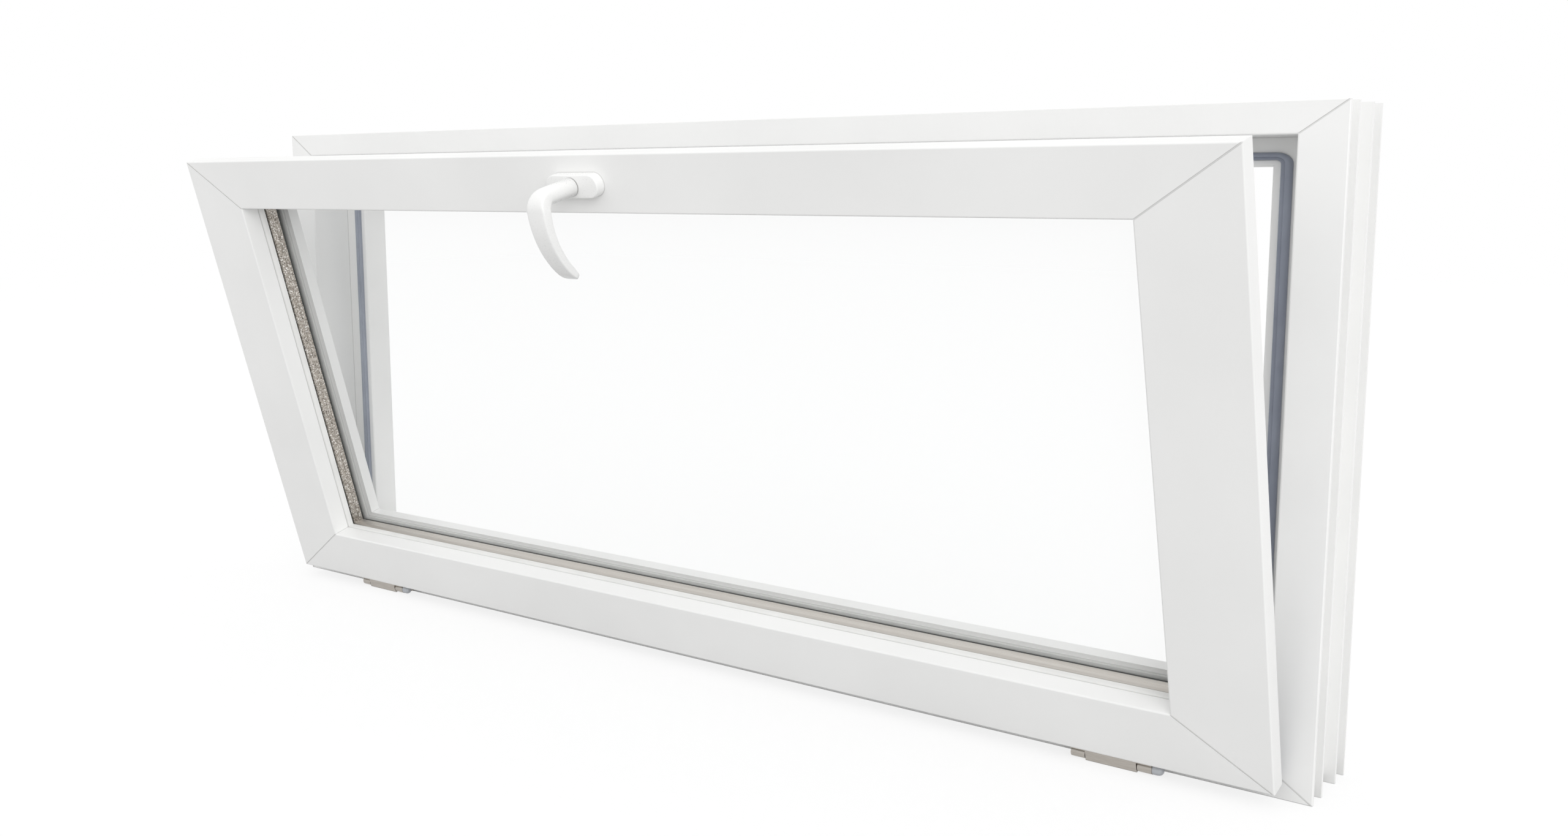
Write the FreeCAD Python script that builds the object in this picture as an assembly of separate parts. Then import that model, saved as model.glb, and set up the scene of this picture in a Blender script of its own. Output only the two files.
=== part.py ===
import FreeCAD
import Part
import math
import os

V = FreeCAD.Vector

# Overall sizes, in millimetres
WIDTH = 1400.0                 # frame, outside to outside
HEIGHT = 600.0
TILT = 15.0                    # degrees the sash stands open into the room
UPRIGHT = 1.5                  # uprights, across their face, as a multiple of the rails

# Frame section, as on the rails: n runs inwards from the outside edge, depth from the room face to the weather face
FRAME_DEPTH = 92.0
FRAME_FACE = 28.0              # room face, outside edge to rebate
RIB = 3.5                      # thickness of the ribs round the outside
RIB_GROOVE = 8.0               # depth of the grooves between them
RIB_1_DEPTH = 24.0
RIB_2_DEPTH = 63.0
STOP_HEIGHT = 25.0             # weather leg, above the rebate floor
STOP_BEVEL = 5.0
FRAME_ARRIS = 1.0              # rounding of the frame's outside edges
FRAME_NOSE = 2.0               # and of its edge beside the rebate
WELD_GROOVE = 0.7              # depth and half width of the groove along the welded mitres of the room face
DRAIN_LENGTH = 30.0            # drain slots in the sill's weather face
DRAIN_HEIGHT = 6.0
DRAIN_DEPTH = 4.0
DRAIN_UP = 20.0                # slot, above the frame's bottom edge
DRAIN_AT = 0.6                 # of the half width

# Sash section: n runs inwards from the sash's own outside edge
SASH_REVEAL = 16.0             # frame face left showing round the sash
SASH_FACE = 60.0
SASH_DEPTH = 74.0
FLANGE = 20.0                  # thickness of the lip that laps the frame
FLANGE_WIDTH = 18.0            # lip, outside edge to the step behind it
STEP_DEPTH = 10.0
REBATE_GAP = 12.0              # sash body to frame rebate
SASH_WALL = 19.0               # sash body, outside to glazing rebate
ROOM_LEG = 21.0                # fixed leg on the room side of the glass
LEG_DRAFT = 1.5
SASH_ARRIS = 1.5               # rounding of the sash's outside edge
SASH_NOSE = 2.0                # and of its edge beside the glass
LEG_ARRIS = 1.0                # rounding of the edges behind
SEAL_GAP = 5.0                 # closed sash to frame, front and back
SEAL_SLACK = 0.3               # left over by the soft seals

# Glazing
PANE = 4.0
CAVITY = 16.0
PANE_EDGE_GAP = 5.0            # pane edge to rebate floor
SPACER_WIDTH = 12.0
SPACER_SHOW = 0.5              # spacer standing past the sash leg
INNER_SEAL = 6.0
OUTER_SEAL = 3.0
SEAL_WIDTH = 9.5               # glass seals, across the pane
OUTER_SEAL_INSET = 0.6
BEAD_OVER = 8.0                # bead, past the room-side leg
BEAD_NOSE = 13.0               # straight part of the bead before its bevel
BEAD_BEVEL = 6.5
BEAD_ARRIS = 0.8

# Soft seals between sash and frame
FRAME_SEAL_WIDTH = 6.5
FRAME_SEAL_INSET = 5.5         # from the weather leg's edge
SASH_SEAL_WIDTH = 5.0
SASH_SEAL_INSET = 3.0          # from the lip's outside edge
SEAL_CORNER = 12.0
SEAL_CHAMFER = 1.5

# Hinges
HINGE_AT = 0.745               # of the half width
HINGE_LENGTH = 80.0            # knuckles, end to end
KNUCKLE_RADIUS = 5.0
END_KNUCKLE = 14.0
KNUCKLE_GAP = 0.7              # end knuckles to the sash leaf
BARREL_ROUND = 1.5             # lower front edge of the middle knuckle
PIN_RADIUS = 3.0
PIN_CLEARANCE = 0.05
HINGE_FORWARD = 14.5           # axis, in front of the frame face
HINGE_DROP = 10.0              # axis, below the sash's bottom edge
LEAF = 2.5
LEAF_TOP_GAP = 4.5             # frame leaf to the sash's bottom edge
LEAF_BOTTOM = 1.5              # frame leaf above the frame's bottom edge
LEAF_ROUND = 1.0
SASH_LEAF_INSET = 3.5          # sash leaf, back edge from the lip's back
BAND_BACK = 3.5                # band over the knuckles, behind the axis
CAP_LENGTH = 10.0
CAP_RADIUS = 4.8

# Handle
ROSETTE_LENGTH = 70.0
ROSETTE_HEIGHT = 24.0
ROSETTE_THICK = 11.0
ROSETTE_CHAMFER = 2.0
SPIGOT_RADIUS = 6.0
SPIGOT_LENGTH = 6.0
SPIGOT_CLEARANCE = 0.05
SPIGOT_END_GAP = 0.5           # bore, past the spigot's end
LEVER_GAP = 0.4                # lever to rosette
NECK_RADIUS = 9.5
NECK_LENGTH = 36.0
BEND_RADIUS = 13.0
BEND_ANGLE = 85.0
GRIP_RADIUS = 95.0             # of the bow along the grip
GRIP_DROP = 88.0               # handle axis to the grip's tip
GRIP_WIDTH = 24.0
GRIP_THICK = 11.5
TIP_WIDTH = 20.0
TIP_THICK = 8.0
TIP_ROUND = 3.5                # length over which the tip closes

# Values that follow
FRONT = -(FLANGE + SEAL_GAP)                               # sash face, in front of the frame face
SASH_BACK = FRONT + SASH_DEPTH
STOP_DEPTH = SASH_BACK + SEAL_GAP                          # room face of the weather leg
STOP_EDGE = FRAME_FACE + STOP_HEIGHT
SASH_W = WIDTH - 2 * UPRIGHT * SASH_REVEAL
SASH_H = HEIGHT - 2 * SASH_REVEAL
BODY = FRAME_FACE - SASH_REVEAL + REBATE_GAP               # sash body, from the sash's outside edge
REBATE = BODY + SASH_WALL                                  # glazing rebate floor
SIGHT = SASH_FACE + LEG_DRAFT                              # edge of the clear glass
GLASS_1 = FRONT + ROOM_LEG + INNER_SEAL                    # room side of the glazing
GLASS_2 = GLASS_1 + 2 * PANE + CAVITY
BEAD_DEPTH = GLASS_2 + OUTER_SEAL
SEAL_THICK = SEAL_GAP - SEAL_SLACK
PIN_Y = -HINGE_FORWARD
PIN_Z = SASH_REVEAL - HINGE_DROP
HANDLE_Z = HEIGHT - SASH_REVEAL - SASH_FACE / 2
ORIGIN_DEPTH = RIB_1_DEPTH + RIB / 2                       # the origin lies under this rib


def box(x0, x1, y0, y1, z0, z1):
    return Part.makeBox(x1 - x0, y1 - y0, z1 - z0, V(x0, y0, z0))


def outline(corners, place):
    """A closed wire through corners (a, b) or (a, b, radius); place turns a and b into a point."""
    points = [place(*corner[:2]) for corner in corners]
    starts, ends, arcs = [], [], []
    for i, corner in enumerate(corners):
        before = (points[i - 1] - points[i]).normalize()
        after = (points[(i + 1) % len(points)] - points[i]).normalize()
        radius = corner[2] if len(corner) == 3 else 0.0
        half = before.getAngle(after) / 2
        starts.append(points[i] + before * (radius / math.tan(half)))
        ends.append(points[i] + after * (radius / math.tan(half)))
        arcs.append(points[i] + (before + after).normalize() * (radius / math.sin(half) - radius) if radius else None)
    edges = []
    for i, middle in enumerate(arcs):
        if starts[i].distanceToPoint(ends[i - 1]) > 1e-6:
            edges.append(Part.makeLine(ends[i - 1], starts[i]))
        if middle:
            edges.append(Part.Arc(starts[i], middle, ends[i]).toShape())
    return Part.Wire(edges)


def prism(corners, place, along):
    """A solid drawn from an outline along a vector."""
    return Part.Face(outline(corners, place)).extrude(along)


def mitred(section, length, slope):
    """A bar along X with its section's n upwards and both ends cut back by slope times n."""
    half = length / 2
    top = max(corner[0] for corner in section)
    near = min(corner[1] for corner in section) - 1
    deep = V(0, max(corner[1] for corner in section) + 1 - near, 0)
    ends = [(-half, 0), (half, 0), (half - slope * top, top), (slope * top - half, top)]
    bar = prism(section, lambda n, depth: V(-half, depth, n), V(length, 0, 0))
    return bar.common(prism(ends, lambda x, n: V(x, near, n), deep))


def grooved(section, length, slope):
    """A mitred bar with a fine step along each end of its room face, so that two of them leave a weld groove."""
    bar = mitred(section, length, slope)
    face = min(corner[1] for corner in section)
    top = max(corner[0] for corner in section) + 1
    across = WELD_GROOVE * math.hypot(1, slope)
    for sign in (-1, 1):
        ends = [(length / 2 + slope, -1), (length / 2 + slope - across, -1),
                (length / 2 - slope * top - across, top), (length / 2 - slope * top, top)]
        bar = bar.cut(prism(ends, lambda x, n: V(sign * x, face - 1, n), V(0, WELD_GROOVE + 1, 0)))
    return bar


def surround(make, section, width, height, z0):
    """Four bars round a rectangle: bottom, top, left and right; the uprights' section is the wider one."""
    wide = [(n * UPRIGHT, *rest) for n, *rest in section]
    bars = {}
    for name, bar, turn, x, z in [
        ("bottom", make(section, width, UPRIGHT), 0, 0, 0),
        ("top", make(section, width, UPRIGHT), 180, 0, height),
        ("left", make(wide, height, 1 / UPRIGHT), 90, -width / 2, height / 2),
        ("right", make(wide, height, 1 / UPRIGHT), -90, width / 2, height / 2),
    ]:
        bar.rotate(V(0, 0, 0), V(0, 1, 0), turn)
        bar.translate(V(x, 0, z + z0))
        bars[name] = bar
    return bars


def plate(inset, depth, thick, corner=0.0):
    """A rectangle set in from the sash's outside edge, with round corners if asked."""
    half = SASH_W / 2 - UPRIGHT * inset
    body = box(-half, half, depth, depth + thick, SASH_REVEAL + inset, HEIGHT - SASH_REVEAL - inset)
    if corner:
        body = body.makeFillet(corner, [e for e in body.Edges if abs(e.tangentAt(e.FirstParameter).y) > 0.9])
    return body


def loop(inset, width, depth, thick, corner=0.0):
    """A flat ring set in from the sash's outside edge."""
    inner = max(corner - width, 0.5) if corner else 0.0
    return plate(inset, depth, thick, corner).cut(plate(inset + width, depth - 1, thick + 2, inner))


def chamfered(ring, depth, size):
    """Chamfer the edges of a flat piece that lie at one depth."""
    edges = [e for e in ring.Edges if all(abs(v.Point.y - depth) < 0.01 for v in e.Vertexes)]
    return ring.makeChamfer(size, edges)


def frame_section():
    d = FRAME_DEPTH
    points = [(0, 0, FRAME_ARRIS), (FRAME_FACE, 0, FRAME_NOSE), (FRAME_FACE, STOP_DEPTH),
              (STOP_EDGE, STOP_DEPTH, FRAME_NOSE), (STOP_EDGE, d - STOP_BEVEL, FRAME_ARRIS),
              (STOP_EDGE - STOP_BEVEL, d, FRAME_ARRIS), (0, d, FRAME_ARRIS)]
    for near, far in ((RIB_2_DEPTH, d - RIB), (RIB_1_DEPTH, RIB_2_DEPTH), (0, RIB_1_DEPTH)):
        points += [(0, far), (RIB_GROOVE, far), (RIB_GROOVE, near + RIB), (0, near + RIB)]
    return points


def sash_section():
    lip_back = FRONT + FLANGE
    leg_back = FRONT + ROOM_LEG
    return [(0, FRONT, SASH_ARRIS), (SASH_FACE, FRONT, SASH_NOSE), (SIGHT, leg_back, LEG_ARRIS), (REBATE, leg_back),
            (REBATE, SASH_BACK, LEG_ARRIS), (BODY, SASH_BACK, LEG_ARRIS), (BODY, lip_back + STEP_DEPTH),
            (FLANGE_WIDTH, lip_back + STEP_DEPTH, LEG_ARRIS), (FLANGE_WIDTH, lip_back), (0, lip_back, LEG_ARRIS)]


def bead_section():
    """The bead's n runs from the glazing rebate's floor."""
    edge = SIGHT + BEAD_OVER - REBATE
    return [(0, BEAD_DEPTH), (edge, BEAD_DEPTH), (edge, BEAD_DEPTH + BEAD_NOSE, BEAD_ARRIS),
            (edge - BEAD_BEVEL, SASH_BACK, BEAD_ARRIS), (0, SASH_BACK)]


def frame_parts():
    bars = surround(grooved, frame_section(), WIDTH, HEIGHT, 0)
    for x in (-DRAIN_AT * WIDTH / 2, DRAIN_AT * WIDTH / 2):
        half, r = DRAIN_LENGTH / 2, DRAIN_HEIGHT / 2
        slot = prism([(x - half, -r, r), (x + half, -r, r), (x + half, r, r), (x - half, r, r)],
                     lambda along, up: V(along, FRAME_DEPTH - DRAIN_DEPTH, DRAIN_UP + up), V(0, DRAIN_DEPTH + 1, 0))
        bars["bottom"] = bars["bottom"].cut(slot)
    parts = {"frame_sill": bars["bottom"], "frame_head": bars["top"],
             "frame_left_jamb": bars["left"], "frame_right_jamb": bars["right"]}
    edge = STOP_EDGE - FRAME_SEAL_INSET - FRAME_SEAL_WIDTH - SASH_REVEAL
    seal = loop(edge, FRAME_SEAL_WIDTH, STOP_DEPTH - SEAL_THICK, SEAL_THICK, SEAL_CORNER)
    parts["frame_gasket"] = chamfered(seal, STOP_DEPTH - SEAL_THICK, SEAL_CHAMFER)
    return parts


def sash_parts():
    bars = surround(grooved, sash_section(), SASH_W, SASH_H, SASH_REVEAL)
    parts = {"sash_bottom_rail": bars["bottom"], "sash_top_rail": bars["top"],
             "sash_left_stile": bars["left"], "sash_right_stile": bars["right"]}
    seal = loop(SASH_SEAL_INSET, SASH_SEAL_WIDTH, -SEAL_GAP, SEAL_THICK)
    parts["sash_gasket"] = chamfered(seal, -SEAL_SLACK, SEAL_CHAMFER)
    return parts


def glazing_parts():
    pane_edge = REBATE + PANE_EDGE_GAP
    beads = surround(mitred, bead_section(), SASH_W - 2 * UPRIGHT * REBATE, SASH_H - 2 * REBATE,
                     SASH_REVEAL + REBATE)
    parts = {f"{side}_bead": bar for side, bar in beads.items()}
    parts["inner_pane"] = plate(pane_edge, GLASS_1, PANE)
    parts["outer_pane"] = plate(pane_edge, GLASS_2 - PANE, PANE)
    parts["spacer_bar"] = loop(SIGHT - SPACER_WIDTH + SPACER_SHOW, SPACER_WIDTH, GLASS_1 + PANE, CAVITY)
    parts["inner_glass_gasket"] = loop(SIGHT - SEAL_WIDTH, SEAL_WIDTH, GLASS_1 - INNER_SEAL, INNER_SEAL)
    parts["outer_glass_gasket"] = loop(SIGHT - SEAL_WIDTH, SEAL_WIDTH + BEAD_OVER - OUTER_SEAL_INSET,
                                       GLASS_2, OUTER_SEAL)
    return parts


def hinge_parts(side, x):
    """One hinge: a leaf on the frame with two end knuckles, and a leaf under the sash lip with the middle one."""
    half = HINGE_LENGTH / 2
    inner = half - END_KNUCKLE
    r = KNUCKLE_RADIUS
    front = PIN_Y - r
    band = PIN_Z + r + KNUCKLE_GAP
    lip = SASH_REVEAL - LEAF

    def bar(corners, x0, x1):
        return prism(corners, lambda y, z: V(x0, y, z), V(x1 - x0, 0, 0))

    def turned(profile, x0):
        """A piece turned about the hinge axis, from (along, radius) corners."""
        face = Part.Face(outline(profile, lambda along, radius: V(x0 + along, PIN_Y, PIN_Z + radius)))
        return face.revolve(V(0, PIN_Y, PIN_Z), V(1, 0, 0), 360)

    def pin(radius, length):
        return turned([(0, 0), (length, 0), (length, radius), (0, radius)], -length / 2)

    frame_leaf = bar([(-LEAF, LEAF_BOTTOM, LEAF_ROUND), (0, LEAF_BOTTOM), (0, SASH_REVEAL - LEAF_TOP_GAP),
                      (-LEAF, SASH_REVEAL - LEAF_TOP_GAP, LEAF_ROUND)], -half, half)
    knuckle = [(front, PIN_Z - r, r), (-LEAF, PIN_Z - r), (-LEAF, PIN_Z + r), (front, PIN_Z + r, r)]
    for x0, x1 in ((-half, -inner), (inner, half)):
        frame_leaf = frame_leaf.fuse(bar(knuckle, x0, x1))
    frame_leaf = frame_leaf.cut(pin(PIN_RADIUS, HINGE_LENGTH)).removeSplitter()
    sash_leaf = bar([(front, band), (PIN_Y + BAND_BACK, band), (PIN_Y + BAND_BACK, lip),
                     (FRONT + FLANGE - SASH_LEAF_INSET, lip), (FRONT + FLANGE - SASH_LEAF_INSET, SASH_REVEAL),
                     (front, SASH_REVEAL)], -half, half)
    barrel = [(front, PIN_Z - r, BARREL_ROUND), (PIN_Y + r, PIN_Z - r, r), (PIN_Y + r, lip, r), (front, lip)]
    sash_leaf = sash_leaf.fuse(bar(barrel, KNUCKLE_GAP - inner, inner - KNUCKLE_GAP))
    sash_leaf = sash_leaf.cut(pin(PIN_RADIUS + PIN_CLEARANCE, HINGE_LENGTH)).removeSplitter()
    cap = turned([(0, 0), (CAP_LENGTH, 0), (CAP_LENGTH, CAP_RADIUS * 0.5), (CAP_LENGTH * 0.65, CAP_RADIUS),
                  (0, CAP_RADIUS)], half)
    parts = {"frame_leaf": frame_leaf, "sash_leaf": sash_leaf, "pin": pin(PIN_RADIUS, HINGE_LENGTH), "cap": cap}
    for shape in parts.values():
        shape.translate(V(x, 0, 0))
    return {f"{side}_hinge_{name}": shape for name, shape in parts.items()}


def lever_section(centre, direction, width, thick, squareness):
    """A rounded rectangle across the lever's path, round at squareness 0; direction lies in the YZ plane."""
    across = V(1, 0, 0)
    up = across.cross(direction)
    u, w = width / 2, thick / 2
    radius = min(u, w) * (0.98 - 0.3 * squareness)
    return outline([(-u, -w, radius), (u, -w, radius), (u, w, radius), (-u, w, radius)],
                   lambda a, b: centre + across * a + up * b)


def lever_path():
    """Stations along the lever: offset from the sash face, drop, heading, and how far along neck and grip."""
    start = ROSETTE_THICK + LEVER_GAP
    bend_steps, grip_steps = 5, 6
    stations = [(start, 0.0, 0.0, 0.0, 0.0)]
    for k in range(bend_steps + 1):
        a = math.radians(BEND_ANGLE * k / bend_steps)
        stations.append((start + NECK_LENGTH + BEND_RADIUS * math.sin(a), BEND_RADIUS * (1 - math.cos(a)), a,
                         k / bend_steps, 0.0))
    offset, drop = stations[-1][:2]
    begin = math.radians(90 - BEND_ANGLE)
    centre = (offset - GRIP_RADIUS * math.cos(begin), drop + GRIP_RADIUS * math.sin(begin))
    finish = math.asin((GRIP_DROP - TIP_ROUND - centre[1]) / GRIP_RADIUS)
    for k in range(1, grip_steps + 1):
        a = -begin + (begin + finish) * k / grip_steps
        stations.append((centre[0] + GRIP_RADIUS * math.cos(a), centre[1] + GRIP_RADIUS * math.sin(a),
                         math.pi / 2 + a, 1.0, k / grip_steps))
    return stations


def handle_lever():
    wires = []
    for offset, drop, heading, bend, grip in lever_path():
        direction = V(0, -math.cos(heading), -math.sin(heading))
        centre = V(0, FRONT - offset, HANDLE_Z - drop)
        width = 2 * NECK_RADIUS + (GRIP_WIDTH - 2 * NECK_RADIUS) * bend + (TIP_WIDTH - GRIP_WIDTH) * grip
        thick = 2 * NECK_RADIUS + (GRIP_THICK - 2 * NECK_RADIUS) * bend + (TIP_THICK - GRIP_THICK) * grip
        wires.append(lever_section(centre, direction, width, thick, bend))
    for along, shrink in ((0.6, 0.82), (1.0, 0.5)):
        wires.append(lever_section(centre + direction * (TIP_ROUND * along), direction, TIP_WIDTH * shrink,
                                   TIP_THICK * shrink, 1.0))
    lever = Part.makeLoft(wires, True, True)
    spigot = Part.makeCylinder(SPIGOT_RADIUS, SPIGOT_LENGTH + LEVER_GAP + 1,
                               V(0, FRONT - ROSETTE_THICK - LEVER_GAP - 1, HANDLE_Z), V(0, 1, 0))
    return lever.fuse(spigot).removeSplitter()


def handle_parts():
    half, r = ROSETTE_LENGTH / 2, ROSETTE_HEIGHT / 2
    y0 = FRONT - ROSETTE_THICK
    rosette = prism([(-half, -r, r), (half, -r, r), (half, r, r), (-half, r, r)],
                    lambda x, z: V(x, y0, HANDLE_Z + z), V(0, ROSETTE_THICK, 0))
    rosette = chamfered(rosette, y0, ROSETTE_CHAMFER)
    bore = Part.makeCylinder(SPIGOT_RADIUS + SPIGOT_CLEARANCE, SPIGOT_LENGTH + SPIGOT_END_GAP + 1,
                             V(0, y0 - 1, HANDLE_Z), V(0, 1, 0))
    return {"handle_rosette": rosette.cut(bore), "handle_lever": handle_lever()}


def write(parts, turned):
    """Set a group of parts in the part's frame and write each one; turned parts stand open with the sash."""
    for name, shape in parts.items():
        if turned:
            shape.rotate(V(0, PIN_Y, PIN_Z), V(1, 0, 0), TILT)
        shape.translate(V(0, -ORIGIN_DEPTH, 0))
        shape.exportStep(f"parts/{name}.step")


os.makedirs("parts", exist_ok=True)
hinges = {}
for side, sign in (("left", -1), ("right", 1)):
    hinges.update(hinge_parts(side, sign * HINGE_AT * WIDTH / 2))
write(frame_parts(), False)
write({k: v for k, v in hinges.items() if not k.endswith("sash_leaf")}, False)
write({k: v for k, v in hinges.items() if k.endswith("sash_leaf")}, True)
write(sash_parts(), True)
write(glazing_parts(), True)
write(handle_parts(), True)
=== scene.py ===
from math import asin, cos, pi, radians, sin, sqrt

import bmesh
import bpy
from mathutils import Matrix, Vector


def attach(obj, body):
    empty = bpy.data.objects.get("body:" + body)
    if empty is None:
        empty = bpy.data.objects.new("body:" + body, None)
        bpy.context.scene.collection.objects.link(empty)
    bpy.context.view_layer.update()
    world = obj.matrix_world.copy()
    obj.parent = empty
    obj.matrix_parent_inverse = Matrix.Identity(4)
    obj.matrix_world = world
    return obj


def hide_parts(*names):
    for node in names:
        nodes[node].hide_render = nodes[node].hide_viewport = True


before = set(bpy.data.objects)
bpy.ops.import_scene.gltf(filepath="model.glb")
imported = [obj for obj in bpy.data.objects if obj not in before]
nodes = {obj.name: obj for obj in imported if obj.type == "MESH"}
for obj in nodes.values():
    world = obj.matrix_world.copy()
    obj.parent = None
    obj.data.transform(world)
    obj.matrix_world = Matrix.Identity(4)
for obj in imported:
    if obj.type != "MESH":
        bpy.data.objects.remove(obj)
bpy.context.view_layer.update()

# Outer frame
# Four lengths of white hard plastic section, cut at 45 degrees and welded at the corners.
# The weld is trimmed to a fine groove; ribs round the outside key into the foam in the wall.


def linear(code):
    """An sRGB hex colour as linear RGBA."""
    channels = [int(code[i:i + 2], 16) / 255 for i in (1, 3, 5)]
    return [c / 12.92 if c <= 0.04045 else ((c + 0.055) / 1.055) ** 2.4 for c in channels] + [1.0]


def add(tree, kind, settings, links):
    """Add a node; settings are its sockets or properties, links the outputs that feed its sockets."""
    made = tree.nodes.new("ShaderNode" + kind)
    for name, value in settings.items():
        socket = made.inputs[name] if isinstance(name, int) else made.inputs.get(name)
        if socket is None:
            setattr(made, name, value)
        else:
            socket.default_value = value
    for name, source in links.items():
        tree.links.new(source, made.inputs[name])
    return made


def material(name):
    """A node material with nothing in it yet, and its tree."""
    made = bpy.data.materials.new(name)
    made.use_nodes = True
    made.node_tree.nodes.clear()
    return made, made.node_tree


def tones(ramp, stops):
    """Set a colour ramp from (place, hex colour) pairs."""
    elements = ramp.color_ramp.elements
    while len(elements) < len(stops):
        elements.new(0.5)
    for element, (place, code) in zip(elements, stops):
        element.position = place
        element.color = linear(code)


def nook_shade_and_dust(tree, colour, shade_and_dust_colour):
    """A colour with painted shade: darker by ambient occlusion in weld grooves, gaps and tight corners
    within about 2 mm, standing also for the dust that gathers there.
    """
    nook = add(tree, "AmbientOcclusion", {"Distance": 0.002}, {})
    # painted shade: the less open space within about 2 mm, the more of the dark colour
    painted_shade_share = add(tree, "MapRange", {"From Min": 0.4, "From Max": 0.8, "To Min": 0.5, "To Max": 0.0},
               {"Value": nook.outputs["AO"]})
    mixed = add(tree, "MixRGB", {"Color2": linear(shade_and_dust_colour)}, {"Fac": painted_shade_share.outputs["Result"], "Color1": colour})
    return mixed.outputs["Color"]


def upvc(name, stretch):
    """Extruded uPVC: satin white, even to the eye, with faint die lines along the bar."""
    made, tree = material(name)
    place = add(tree, "TexCoord", {}, {})
    along = add(tree, "Mapping", {"Scale": stretch}, {"Vector": place.outputs["Object"]})
    # die lines about 3 mm apart; tone drifts over about 150 mm
    lines = add(tree, "TexNoise", {"Scale": 1000 / 3, "Detail": 3.0}, {"Vector": along.outputs["Vector"]})
    drift = add(tree, "TexNoise", {"Scale": 1000 / 150, "Detail": 2.0}, {"Vector": place.outputs["Object"]})
    tone = add(tree, "ValToRGB", {}, {"Fac": drift.outputs["Fac"]})
    tones(tone, [(0.3, "#efefee"), (0.7, "#f4f4f3")])
    gloss = add(tree, "MapRange", {"To Min": 0.32, "To Max": 0.42}, {"Value": lines.outputs["Fac"]})
    relief = add(tree, "Bump", {"Strength": 0.05, "Distance": 0.0003}, {"Height": lines.outputs["Fac"]})
    # base colour with painted shade in the weld grooves, gaps and corners
    skin = add(tree, "BsdfPrincipled", {"IOR": 1.53},
               {"Base Color": nook_shade_and_dust(tree, tone.outputs["Color"], "#8d8c8a"),
                "Roughness": gloss.outputs["Result"], "Normal": relief.outputs["Normal"]})
    add(tree, "OutputMaterial", {}, {"Surface": skin.outputs["BSDF"]})
    return made


def finish_node(node, finish):
    """Give a solid of the frame its finish."""
    nodes[node].data.materials.clear()
    nodes[node].data.materials.append(finish)


upvc_across = upvc("uPVC extruded, across", (0.01, 1.0, 1.0))
upvc_upright = upvc("uPVC extruded, upright", (1.0, 1.0, 0.01))
for node in ("frame_sill", "frame_head"):
    finish_node(node, upvc_across)
for node in ("frame_left_jamb", "frame_right_jamb"):
    finish_node(node, upvc_upright)

# Frame seal
# A soft extruded rubber strip in a groove of the frame's weather leg, run round in one piece
# with its corners bent. A round bulb and a thin lip meet the back of the closed sash.

MM = 0.001
ROOM_FACE = -25.75             # the frame's room face, in mm from the origin
FRAME_SIZE = (1400.0, 600.0)
UPRIGHT = 1.5                  # uprights, across their face, as a multiple of the rails


def piece(name, made, turn, sharp):
    """An object from a bmesh, turned into its place, smooth except at edges over sharp degrees."""
    bmesh.ops.recalc_face_normals(made, faces=made.faces)
    mesh = bpy.data.meshes.new(name)
    made.to_mesh(mesh)
    made.free()
    mesh.transform(turn)
    mesh.shade_smooth()
    mesh.set_sharp_from_angle(angle=radians(sharp))
    placed = bpy.data.objects.new(name, mesh)
    bpy.context.scene.collection.objects.link(placed)
    return placed


def ring(name, section, size, corner, turn):
    """A section of (inset, depth) points carried round a rectangle of the window, in mm.

    Its corners are mitred, or bent round a point that lies corner mm in from both edges.
    """
    half_width, half_height = size[0] / 2, size[1] / 2
    steps = 8 if corner else 0
    made = bmesh.new()
    rows = []
    for sign_x, sign_z, start in ((1, -1, -90), (1, 1, 0), (-1, 1, 90), (-1, -1, 180)):
        for step in range(steps + 1):
            angle = radians(start + 90 * step / steps) if steps else 0.0
            row = []
            for inset, depth in section:
                if steps:
                    x = sign_x * (half_width - UPRIGHT * corner) + UPRIGHT * (corner - inset) * cos(angle)
                    z = sign_z * (half_height - corner) + (corner - inset) * sin(angle)
                else:
                    x = sign_x * (half_width - UPRIGHT * inset)
                    z = sign_z * (half_height - inset)
                row.append(made.verts.new((x * MM, (depth + ROOM_FACE) * MM, (z + FRAME_SIZE[1] / 2) * MM)))
            rows.append(row)
    for here, there in zip(rows, rows[1:] + rows[:1]):
        for i in range(len(section)):
            made.faces.new((here[i - 1], here[i], there[i], there[i - 1]))
    return piece(name, made, turn, sharp=40)


def soft_polymer(name, dark, light, rough):
    """Rubber or soft plastic: matt, a little cloudy, with a fine chalky grain."""
    made, tree = material(name)
    place = add(tree, "TexCoord", {}, {})
    # grain of about 0.8 mm, coarser than the real one so that it shows
    grain = add(tree, "TexNoise", {"Scale": 1000 / 0.8, "Detail": 2.0}, {"Vector": place.outputs["Object"]})
    cloud = add(tree, "TexNoise", {"Scale": 1000 / 40, "Detail": 2.0}, {"Vector": place.outputs["Object"]})
    tone = add(tree, "ValToRGB", {}, {"Fac": cloud.outputs["Fac"]})
    tones(tone, [(0.3, dark), (0.7, light)])
    gloss = add(tree, "MapRange", {"To Min": rough - 0.06, "To Max": rough + 0.06},
                {"Value": grain.outputs["Fac"]})
    relief = add(tree, "Bump", {"Strength": 0.12, "Distance": 0.0002}, {"Height": grain.outputs["Fac"]})
    skin = add(tree, "BsdfPrincipled", {"IOR": 1.52},
               {"Base Color": tone.outputs["Color"], "Roughness": gloss.outputs["Result"],
                "Normal": relief.outputs["Normal"]})
    add(tree, "OutputMaterial", {}, {"Surface": skin.outputs["BSDF"]})
    return made


def fit(made, finish, body, replaced):
    """Finish a piece, let it ride on its body, and let it stand for a solid."""
    made.data.materials.append(finish)
    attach(made, body)
    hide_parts(replaced)


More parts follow.
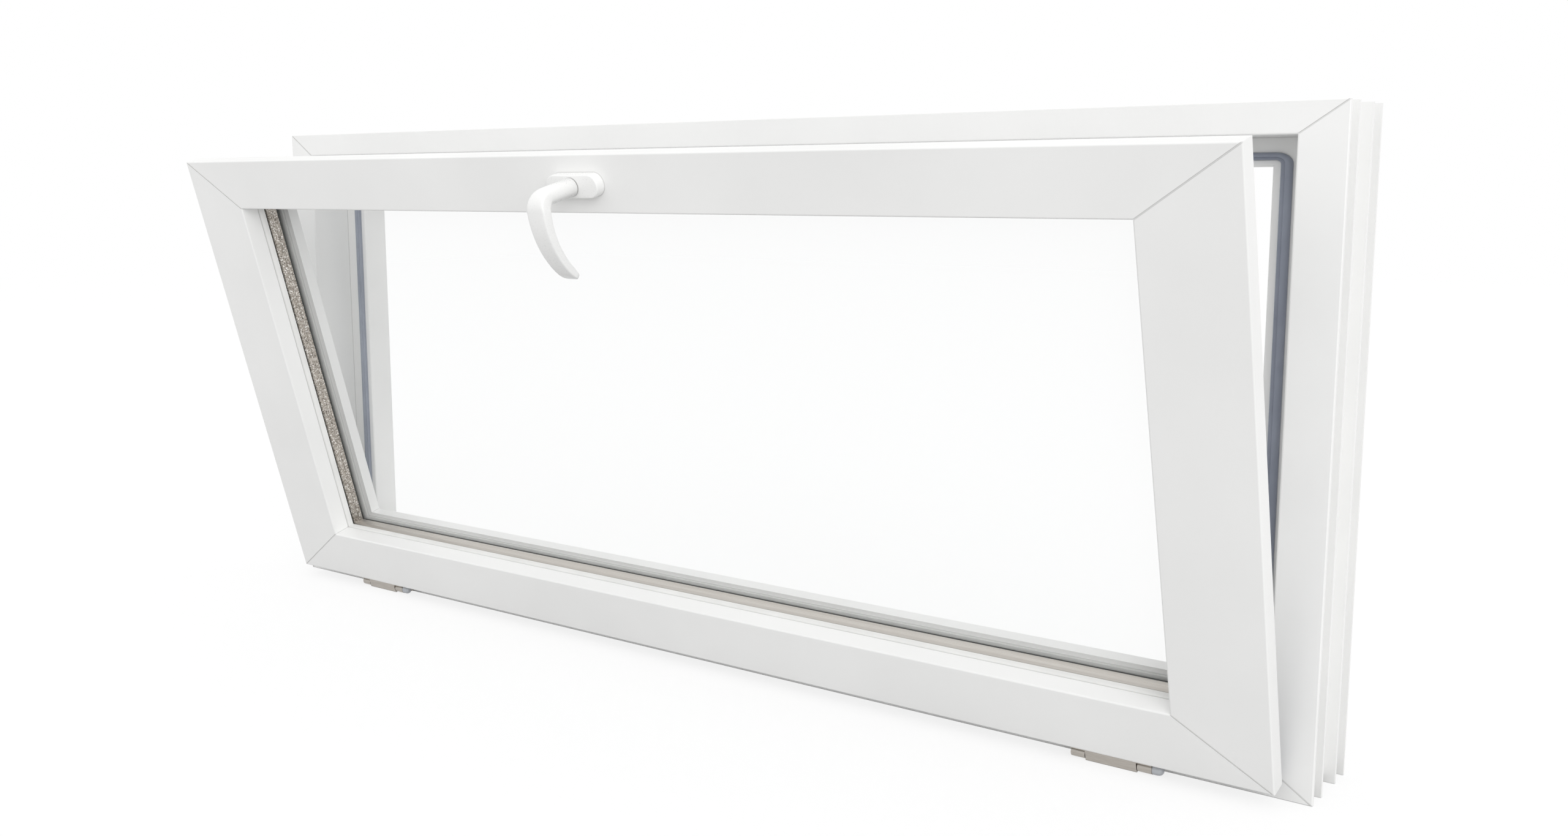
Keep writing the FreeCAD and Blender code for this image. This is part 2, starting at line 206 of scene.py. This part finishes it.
epdm_blue_grey = soft_polymer("EPDM, blue-grey", "#8b91a0", "#989eac", 0.5)
leg = 54.0                     # room face of the weather leg
frame_seal_corner = 51.0       # centre of each bend, in from the frame's edges
frame_seal_section = [(41.0, leg), (41.0, leg - 2.2), (41.5, leg - 3.6), (42.6, leg - 4.5),
                      (43.8, leg - 4.7), (44.8, leg - 4.4), (45.3, leg - 3.4), (46.2, leg - 3.9),
                      (47.1, leg - 4.0), (47.5, leg - 3.3), (47.5, leg)]
frame_seal = ring("frame_seal", frame_seal_section, FRAME_SIZE, frame_seal_corner, Matrix.Identity(4))
fit(frame_seal, epdm_blue_grey, "frame", "frame_gasket")

# Hinges
# Two satin zinc barrel hinges under the sash. The leaf on the frame has the end knuckles, the leaf
# under the sash the long middle one with a flat front. A pin runs through, and a soft plastic cap
# closes its right end.


def softened(name, node, radius):
    """A copy of a solid with its facets joined and its sharp edges rounded, as a casting's are."""
    made = bmesh.new()
    made.from_mesh(nodes[node].data)
    bmesh.ops.remove_doubles(made, verts=made.verts, dist=0.01 * MM)
    bmesh.ops.dissolve_limit(made, angle_limit=radians(0.5), verts=made.verts, edges=made.edges)
    sharp = [edge for edge in made.edges if edge.is_manifold and edge.calc_face_angle() > radians(30)]
    bmesh.ops.bevel(made, geom=sharp, offset=radius * MM, segments=3, profile=0.5, affect="EDGES",
                    clamp_overlap=True)
    return piece(name, made, Matrix.Identity(4), sharp=30)


def zinc():
    """Die-cast zinc with a satin nickel finish: warm grey, brushed along the barrel."""
    made, tree = material("zinc die-cast, satin nickel")
    place = add(tree, "TexCoord", {}, {})
    along = add(tree, "Mapping", {"Scale": (0.04, 1.0, 1.0)}, {"Vector": place.outputs["Object"]})
    # brush lines about 0.5 mm apart
    brush = add(tree, "TexNoise", {"Scale": 1000 / 0.5, "Detail": 3.0}, {"Vector": along.outputs["Vector"]})
    tone = add(tree, "ValToRGB", {}, {"Fac": brush.outputs["Fac"]})
    tones(tone, [(0.3, "#aaa49d"), (0.7, "#bdb8b1")])
    gloss = add(tree, "MapRange", {"To Min": 0.30, "To Max": 0.46}, {"Value": brush.outputs["Fac"]})
    relief = add(tree, "Bump", {"Strength": 0.10, "Distance": 0.0001}, {"Height": brush.outputs["Fac"]})
    # base colour with painted shade in the hinge's gaps and corners
    skin = add(tree, "BsdfPrincipled", {"Metallic": 1.0},
               {"Base Color": nook_shade_and_dust(tree, tone.outputs["Color"], "#24211e"),
                "Roughness": gloss.outputs["Result"], "Normal": relief.outputs["Normal"]})
    add(tree, "OutputMaterial", {}, {"Surface": skin.outputs["BSDF"]})
    return made


def turned(name, profile, x, y, z):
    """A piece turned about a line along X, from (along, radius) points in mm."""
    steps = 32
    made = bmesh.new()
    rows = []
    for along, radius in profile:
        row = []
        for i in range(steps):
            angle = 2 * pi * i / steps
            spot = Vector((x + along, y + radius * cos(angle), z + radius * sin(angle)))
            row.append(made.verts.new(spot * MM))
        rows.append(row)
    for here, there in zip(rows, rows[1:]):
        for i in range(steps):
            made.faces.new((here[i - 1], here[i], there[i], there[i - 1]))
    made.faces.new(rows[0])
    made.faces.new(rows[-1])
    return piece(name, made, Matrix.Identity(4), sharp=50)


zinc_satin = zinc()
cap_plastic = soft_polymer("polyethylene, moulded", "#b9bcc1", "#c6c9cd", 0.38)
hinge_at = 521.5               # middle of each hinge, left or right of the window's middle
hinge_half = 40.0
pin_forward = 14.5             # pin, in front of the frame's room face
pin_y, pin_z = ROOM_FACE - pin_forward, 6.0
frame_leaf_edge, sash_leaf_edge = 0.5, 0.4
cap_profile = [(0.0, 4.4), (0.3, 4.8), (4.5, 4.8), (6.2, 4.6), (7.6, 4.1), (8.7, 3.4), (9.5, 2.4),
               (9.9, 1.3), (10.0, 0.4)]
for side, sign in (("left", -1), ("right", 1)):
    frame_leaf = softened(f"{side}_frame_leaf", f"{side}_hinge_frame_leaf", frame_leaf_edge)
    fit(frame_leaf, zinc_satin, "frame", f"{side}_hinge_frame_leaf")
    sash_leaf = softened(f"{side}_sash_leaf", f"{side}_hinge_sash_leaf", sash_leaf_edge)
    fit(sash_leaf, zinc_satin, "sash", f"{side}_hinge_sash_leaf")
    cap = turned(f"{side}_cap", cap_profile, sign * hinge_at + hinge_half, pin_y, pin_z)
    fit(cap, cap_plastic, "frame", f"{side}_hinge_cap")
    finish_node(f"{side}_hinge_pin", zinc_satin)

# Sash
# The same welded plastic as the frame, wider across its face, with a lip that laps the frame.
# Its seal is a thin strip in the back of that lip.

for node in ("sash_bottom_rail", "sash_top_rail"):
    finish_node(node, upvc_across)
for node in ("sash_left_stile", "sash_right_stile"):
    finish_node(node, upvc_upright)

SASH_SIZE = (1352.0, 568.0)
tilt = radians(15)             # the sash is drawn closed and then stood open by this
hinge_line = Matrix.Translation(Vector((0, pin_y, pin_z)) * MM)
OPEN = hinge_line @ Matrix.Rotation(tilt, 4, "X") @ hinge_line.inverted()
MITRED = 0.0                   # corner of a ring that is cut, not bent
lip = -5.0                     # back of the lip
sash_seal_section = [(3.0, lip), (3.0, lip + 2.6), (3.6, lip + 4.2), (4.8, lip + 4.7), (5.8, lip + 4.2),
                     (6.2, lip + 3.0), (7.2, lip + 3.2), (8.0, lip + 2.4), (8.0, lip)]
sash_seal = ring("sash_seal", sash_seal_section, SASH_SIZE, MITRED, OPEN)
fit(sash_seal, epdm_blue_grey, "sash", "sash_gasket")

# Sealed glazing
# Two 4 mm panes of float glass held apart by a metal spacer, set on soft strips in the sash's rebate
# and held from the weather side by four snap-in plastic beads.


def glass():
    """Float glass: clear, with a slight green cast."""
    made, tree = material("float glass")
    place = add(tree, "TexCoord", {}, {})
    # faint waves of the float bath, about 300 mm long
    wave = add(tree, "TexNoise", {"Scale": 1000 / 300}, {"Vector": place.outputs["Object"]})
    gloss = add(tree, "MapRange", {"To Min": 0.01, "To Max": 0.03}, {"Value": wave.outputs["Fac"]})
    skin = add(tree, "BsdfPrincipled", {"Base Color": linear("#eef6f3"), "IOR": 1.52, "Alpha": 0.02},
               {"Roughness": gloss.outputs["Result"]})
    add(tree, "OutputMaterial", {}, {"Surface": skin.outputs["BSDF"]})
    return made


def spacer_metal(name, stretch, depth, stops):
    """Aluminium spacer: pricked bars are speckled dark and near white, the near-white specks painted
    glints; rolled bars are plain with fine lines along them.
    """
    made, tree = material(name)
    place = add(tree, "TexCoord", {}, {})
    # pricks, or rolling lines, about 1.3 mm apart
    along = add(tree, "Mapping", {"Scale": stretch}, {"Vector": place.outputs["Object"]})
    pricks = add(tree, "TexVoronoi", {"Scale": 1000 / 1.3}, {"Vector": along.outputs["Vector"]})
    tone = add(tree, "ValToRGB", {}, {"Fac": pricks.outputs["Color"]})
    tones(tone, stops)
    gloss = add(tree, "MapRange", {"To Min": 0.30, "To Max": 0.50}, {"Value": pricks.outputs["Distance"]})
    relief = add(tree, "Bump", {"Strength": depth, "Distance": 0.0003},
                 {"Height": pricks.outputs["Distance"]})
    skin = add(tree, "BsdfPrincipled", {"Metallic": 0.75},
               {"Base Color": tone.outputs["Color"], "Roughness": gloss.outputs["Result"],
                "Normal": relief.outputs["Normal"]})
    add(tree, "OutputMaterial", {}, {"Surface": skin.outputs["BSDF"]})
    return made


float_glass = glass()
finish_node("inner_pane", float_glass)
finish_node("outer_pane", float_glass)
glass_1, glass_2 = 2.0, 26.0   # faces of the sealed unit
inner_section = [(52.0, glass_1), (52.0, -4.0), (61.2, -4.0), (62.2, -3.2), (62.9, -1.8), (63.5, 0.4),
                 (63.8, glass_1)]
inner_seal = ring("inner_glass_seal", inner_section, SASH_SIZE, MITRED, OPEN)
tpe_light = soft_polymer("TPE, light grey", "#e2e2e0", "#eaeae8", 0.5)
fit(inner_seal, tpe_light, "sash", "inner_glass_gasket")
outer_section = [(52.0, glass_2), (63.2, glass_2), (63.8, 26.5), (63.9, 27.8), (63.6, 29.0),
                 (52.0, 29.0)]
outer_seal = ring("outer_glass_seal", outer_section, SASH_SIZE, MITRED, OPEN)
tpe_grey = soft_polymer("TPE, grey", "#d0d0ce", "#d9d9d7", 0.5)
fit(outer_seal, tpe_grey, "sash", "outer_glass_gasket")
spacer_section = [(50.0, 6.0), (61.4, 6.0), (62.0, 6.8), (62.0, 13.4), (61.6, 13.8), (61.6, 14.2),
                  (62.0, 14.6), (62.0, 20.4), (61.8, 20.6), (62.4, 21.2), (62.4, 22.0), (50.0, 22.0)]
spacer = ring("spacer", spacer_section, SASH_SIZE, MITRED, OPEN)
# the near-white stop paints glints into the pricked metal's colour
pricked = spacer_metal("aluminium spacer, pricked", (1.0, 1.0, 1.0), 0.35,
                       [(0.05, "#5f574f"), (0.3, "#9d948a"), (0.7, "#c3bbb2"), (0.92, "#fffdfa")])
rolled = spacer_metal("aluminium spacer, rolled", (0.01, 1.0, 1.0), 0.05,
                      [(0.2, "#cdc7c0"), (0.8, "#d4cfc9")])
butyl = soft_polymer("butyl, black", "#151514", "#1e1e1d", 0.4)
fit(spacer, pricked, "sash", "spacer_bar")
spacer.data.materials.append(rolled)
spacer.data.materials.append(butyl)
# the butyl that glues the spacer to the outer pane squeezes out as a thin black line; only the uprights are
# pricked, with painted glints in their near-white specks, and the top and bottom bars get a plainer,
# lighter copy of the metal
butyl_strips = (9, 10)         # faces of the section, by the number of the point each runs to
level_sides = (1, 3)           # top and bottom
for polygon in spacer.data.polygons:
    side, strip = divmod(polygon.index, len(spacer_section))
    if strip in butyl_strips:
        polygon.material_index = 2
    elif side in level_sides:
        polygon.material_index = 1
for node in ("bottom_bead", "top_bead"):
    finish_node(node, upvc_across)
for node in ("left_bead", "right_bead"):
    finish_node(node, upvc_upright)

# Handle
# A cast zinc lever on a long round-ended rosette, both powder coated white and fixed to the top rail.
# The lever's round neck turns down into a flat grip that bows back to the sash.


def powder_coat():
    """Powder coat: white, with a soft gloss and a slight orange peel."""
    made, tree = material("powder coat on cast zinc")
    place = add(tree, "TexCoord", {}, {})
    # orange peel of about 1.5 mm
    peel = add(tree, "TexNoise", {"Scale": 1000 / 1.5, "Detail": 1.0}, {"Vector": place.outputs["Object"]})
    tone = add(tree, "ValToRGB", {}, {"Fac": peel.outputs["Fac"]})
    tones(tone, [(0.3, "#f3f3f2"), (0.7, "#f4f4f3")])
    gloss = add(tree, "MapRange", {"To Min": 0.24, "To Max": 0.34}, {"Value": peel.outputs["Fac"]})
    relief = add(tree, "Bump", {"Strength": 0.01, "Distance": 0.0002}, {"Height": peel.outputs["Fac"]})
    # base colour with painted shade in the handle's gaps and corners
    skin = add(tree, "BsdfPrincipled", {"IOR": 1.5},
               {"Base Color": nook_shade_and_dust(tree, tone.outputs["Color"], "#8d8c8a"),
                "Roughness": gloss.outputs["Result"], "Normal": relief.outputs["Normal"]})
    add(tree, "OutputMaterial", {}, {"Surface": skin.outputs["BSDF"]})
    return made


def skinned(name, rows, turn, sharp):
    """A closed skin over rows of points that all have the same count, in mm."""
    made = bmesh.new()
    rows = [[made.verts.new(Vector(point) * MM) for point in row] for row in rows]
    for here, there in zip(rows, rows[1:]):
        for i in range(len(here)):
            made.faces.new((here[i - 1], here[i], there[i], there[i - 1]))
    made.faces.new(rows[0])
    made.faces.new(rows[-1])
    return piece(name, made, turn, sharp)


white_coat = powder_coat()
face = -25.0 + ROOM_FACE       # sash face
axis_z = 554.0                 # lever axis on the closed sash
rosette_half = 23.0            # half its length between the centres of its round ends
rosette_radius, rosette_thick, rosette_round = 12.0, 11.0, 1.4
rosette_steps = 64
rosette_profile = [(0.0, 0.0), (0.0, rosette_thick - rosette_round)]
for degrees in range(15, 91, 15):
    angle = radians(degrees)
    rosette_profile.append((rosette_round * (1 - cos(angle)),
                            rosette_thick - rosette_round * (1 - sin(angle))))
rows = []
for inset, out in rosette_profile:
    row = []
    for i in range(rosette_steps):
        angle = 2 * pi * i / rosette_steps
        right = i < rosette_steps // 4 or i >= 3 * rosette_steps // 4
        end = rosette_half if right else -rosette_half
        reach = rosette_radius - inset
        row.append((end + reach * cos(angle), face - out, axis_z + reach * sin(angle)))
    rows.append(row)
rosette = skinned("rosette", rows, OPEN, sharp=40)
fit(rosette, white_coat, "sash", "handle_rosette")

neck_gap, neck_chamfer = 0.4, 0.6
neck_start, neck_length, neck_radius = rosette_thick + neck_gap, 36.0, 9.5
bend_radius, bend_angle, grip_radius, grip_drop = 13.0, 85.0, 95.0, 88.0
grip_width, grip_thick, tip_width, tip_thick = 24.0, 11.5, 20.0, 8.0
tip_width_round, tip_thick_round = 7.0, 18.0
bend_steps, grip_steps, lever_steps = 12, 30, 32


def rounded(left, length):
    """How full the section still is, this far from a tip that is rounded over a length."""
    least = 0.15
    return max(sqrt(1 - (1 - min(left / length, 1)) ** 2), least)


# stations along the lever: how far out from the sash, drop, heading, share of the bend and of the
# grip that is passed, and length left to the tip
begin = radians(90 - bend_angle)
bow_out = neck_start + neck_length + bend_radius * cos(begin) - grip_radius * cos(begin)
bow_drop = bend_radius * (1 - sin(begin)) + grip_radius * sin(begin)
tip_angle = asin((grip_drop - bow_drop) / grip_radius)
bow_length = (begin + tip_angle) * grip_radius
stations = [(neck_start, 0.0, 0.0, 0.0, 0.0, bow_length),
            (neck_start + neck_chamfer, 0.0, 0.0, 0.0, 0.0, bow_length)]
for k in range(bend_steps + 1):
    bend = k / bend_steps
    angle = radians(bend_angle * bend)
    stations.append((neck_start + neck_length + bend_radius * sin(angle), bend_radius * (1 - cos(angle)),
                     angle, bend, 0.0, bow_length))
for k in range(1, grip_steps + 1):
    grip = 1 - (1 - k / grip_steps) ** 2
    angle = -begin + (begin + tip_angle) * grip
    stations.append((bow_out + grip_radius * cos(angle), bow_drop + grip_radius * sin(angle),
                     pi / 2 + angle, 1.0, grip, (1 - grip) * bow_length))
rows = []
for out, drop, heading, bend, grip, left in stations:
    width = neck_radius * (1 - bend) + grip_width / 2 * bend + (tip_width - grip_width) / 2 * grip
    thick = neck_radius * (1 - bend) + grip_thick / 2 * bend + (tip_thick - grip_thick) / 2 * grip
    chamfer = 0.95 if out == neck_start else 1.0
    width *= rounded(left, tip_width_round) * chamfer
    thick *= rounded(left, tip_thick_round) * chamfer
    # round along the neck, a rectangle with rounded corners along the grip
    power = 2 / (2 + 6 * bend)
    row = []
    for i in range(lever_steps):
        c, s = cos(2 * pi * i / lever_steps), sin(2 * pi * i / lever_steps)
        u = width * abs(c) ** power * (1 if c > 0 else -1)
        w = thick * abs(s) ** power * (1 if s > 0 else -1)
        row.append((u, face - out - w * sin(heading), axis_z - drop + w * cos(heading)))
    rows.append(row)
lever = skinned("lever", rows, OPEN, sharp=50)
fit(lever, white_coat, "handle", "handle_lever")

# Floor, light and camera
# A pale floor, one wide soft lamp high on the right, and an even sky.
# The floor and the sky show white to the eye and in reflections, and the floor keeps a faint shadow.


def white_to_the_eye(tree, strength):
    """How much of a surface shows as plain white: this much to sight lines, none in the light it gives."""
    path = add(tree, "LightPath", {}, {})
    seen = add(tree, "Math", {"operation": "MAXIMUM"},
               {0: path.outputs["Is Camera Ray"], 1: path.outputs["Is Glossy Ray"]})
    seen = add(tree, "Math", {"operation": "MAXIMUM"},
               {0: seen.outputs["Value"], 1: path.outputs["Is Transmission Ray"]})
    share = add(tree, "Math", {"operation": "MULTIPLY", 1: strength}, {0: seen.outputs["Value"]})
    return share.outputs["Value"]


floor_mesh = bpy.data.meshes.new("floor")
floor_half = 8.0               # half its width, in metres
floor_corners = [(x * floor_half, y * floor_half, 0) for x, y in ((-1, -1), (1, -1), (1, 1), (-1, 1))]
floor_mesh.from_pydata(floor_corners, [], [(0, 1, 2, 3)])
floor = bpy.data.objects.new("floor", floor_mesh)
bpy.context.scene.collection.objects.link(floor)
floor_paint, tree = material("floor paint, pale")
tone = add(tree, "MixRGB", {"Color1": linear("#bababa"), "Color2": linear("#ffffff")},
           {"Fac": white_to_the_eye(tree, 1.0)})
matt = add(tree, "BsdfDiffuse", {}, {"Color": tone.outputs["Color"]})
white = add(tree, "Emission", {"Color": linear("#ffffff")}, {})
mixed = add(tree, "MixShader", {}, {0: white_to_the_eye(tree, 0.8), 1: matt.outputs["BSDF"],
                                    2: white.outputs["Emission"]})
add(tree, "OutputMaterial", {}, {"Surface": mixed.outputs["Shader"]})
floor.data.materials.append(floor_paint)

world = bpy.data.worlds.new("studio")
bpy.context.scene.world = world
world.use_nodes = True
tree = world.node_tree
tree.nodes.clear()
sky = add(tree, "Background", {"Color": linear("#ffffff"), "Strength": 0.97}, {})
white = add(tree, "Background", {"Color": linear("#ffffff"), "Strength": 1.0}, {})
mixed = add(tree, "MixShader", {}, {0: white_to_the_eye(tree, 1.0), 1: sky.outputs["Background"],
                                    2: white.outputs["Background"]})
add(tree, "OutputWorld", {}, {"Surface": mixed.outputs["Shader"]})

lamp_data = bpy.data.lights.new("lamp", "AREA")
lamp_data.size = 10.0
lamp_data.energy = 820.0
lamp = bpy.data.objects.new("lamp", lamp_data)
bpy.context.scene.collection.objects.link(lamp)
lamp.location = (10.8, -9.2, 5.2)
window_middle = Vector((0, 0, 0.3))
lamp.rotation_euler = (window_middle - lamp.location).to_track_quat("-Z", "Y").to_euler()

camera_data = bpy.data.cameras.new("camera")
camera_data.sensor_fit = "HORIZONTAL"
camera_data.sensor_width = 36.0
camera_data.lens = 34.45
camera = bpy.data.objects.new("camera", camera_data)
bpy.context.scene.collection.objects.link(camera)
yaw, pitch = radians(36.683), radians(-8.629)
camera.location = (1.06934, -1.28474, 0.52655)
look = Vector((-sin(yaw) * cos(pitch), cos(yaw) * cos(pitch), sin(pitch)))
camera.rotation_euler = look.to_track_quat("-Z", "Y").to_euler()
bpy.context.scene.camera = camera
bpy.context.scene.view_settings.view_transform = "Standard"
